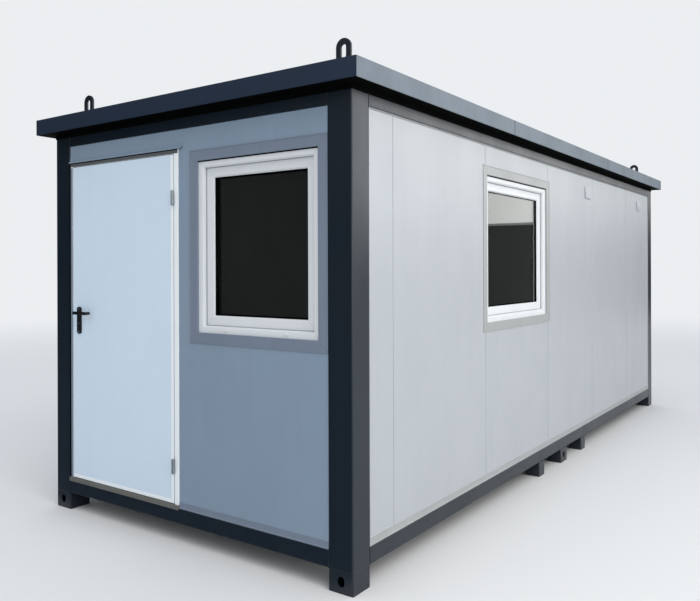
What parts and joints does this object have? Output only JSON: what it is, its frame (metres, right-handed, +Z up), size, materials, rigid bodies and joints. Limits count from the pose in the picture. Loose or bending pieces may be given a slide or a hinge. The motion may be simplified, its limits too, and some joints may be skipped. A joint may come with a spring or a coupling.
{
  "type": "portable site cabin",
  "caption": "Flat-roofed portable site cabin: a steel frame on feet, sandwich wall panels, an end door with a lever handle, an end window and a side window.",
  "frame": {"origin": "on the ground, under the middle of the footprint", "axes": "the door end faces -Y, the long wall with a window faces +X, +Z is up"},
  "size_m": [2.615, 6.235, 2.7719],
  "materials": {
    "anthracite_paint": "satin anthracite coating on the steel frame",
    "fascia_paint": "satin dark blue-grey coating on the fascia of the ends",
    "grey_paint": "satin mid-grey coating on the fascia of the long sides",
    "slate_paint": "satin slate blue coil coating, faintly ribbed",
    "silver_paint": "satin light silver coil coating, faintly ribbed",
    "slate_trim": "satin slate blue folded sheet",
    "silver_trim": "satin light grey folded sheet",
    "door_paint": "satin white coating",
    "jamb_paint": "satin white coating on the door frame",
    "white_pvc": "smooth white window profile",
    "window_glass": "clear double glazing",
    "black_fitting": "satin black handle set",
    "lock_metal": "plain cylinder face",
    "hinge_steel": "zinc-plated steel",
    "threshold_aluminium": "worn mill finish",
    "zinc_sheet": "galvanised steel",
    "white_lining": "matt white lining",
    "floor_vinyl": "grey sheet flooring"
  },
  "bodies": {
    "cabin": {"back_wall_panels": "slate_paint", "base_end_rails": "anthracite_paint", "base_side_rails": "anthracite_paint", "ceiling_panel": "white_lining", "corner_feet": "anthracite_paint", "corner_post_back_left": "anthracite_paint", "corner_post_back_right": "anthracite_paint", "corner_post_front_left": "anthracite_paint", "corner_post_front_right": "anthracite_paint", "door_drip_cap": "slate_paint", "door_frame": "jamb_paint", "door_hinge_frame_halves": "hinge_steel", "door_threshold": "threshold_aluminium", "end_base_flashing": "slate_trim", "fascia_back": "fascia_paint", "fascia_front": "fascia_paint", "fascia_left": "grey_paint", "fascia_right": "grey_paint", "floor_board": "floor_vinyl", "floor_joists": "zinc_sheet", "front_wall_door_header": "slate_paint", "front_wall_window_panel": "slate_paint", "front_window_trim": "slate_trim", "left_wall_panels": "silver_paint", "lifting_lugs": "anthracite_paint", "mid_feet": "anthracite_paint", "pocket_feet": "anthracite_paint", "right_wall_panels": "silver_paint", "right_wall_window_panel": "silver_paint", "roof_end_rails": "anthracite_paint", "roof_purlins": "zinc_sheet", "roof_sheet": "zinc_sheet", "roof_side_rails": "anthracite_paint", "side_base_flashing": "silver_trim", "side_window_trim": "silver_trim", "vent_covers": "silver_paint", "window_frames": "white_pvc", "window_glass": "window_glass", "window_handles": "white_pvc", "window_sashes": "white_pvc"},
    "door": {"door_leaf": "door_paint", "door_handle_plates": "black_fitting", "door_lock_cylinder": "lock_metal", "door_hinge_leaf_halves": "hinge_steel"},
    "door_lever": {"door_lever": "black_fitting"}
  },
  "joints": [
    {"name": "door_hinge", "type": "hinge", "parent": "cabin", "child": "door", "pos_m": [-0.053, -3.0385, 0.441], "axis": [0, 0, 1], "range_deg": [0, 110]},
    {"name": "lever_turn", "type": "hinge", "parent": "door", "child": "door_lever", "pos_m": [-0.9605, -3.0275, 1.307], "axis": [0, 1, 0], "range_deg": [0, 40], "stiffness_Nm_per_rad": 2, "springref_deg": -22.92}
  ]
}
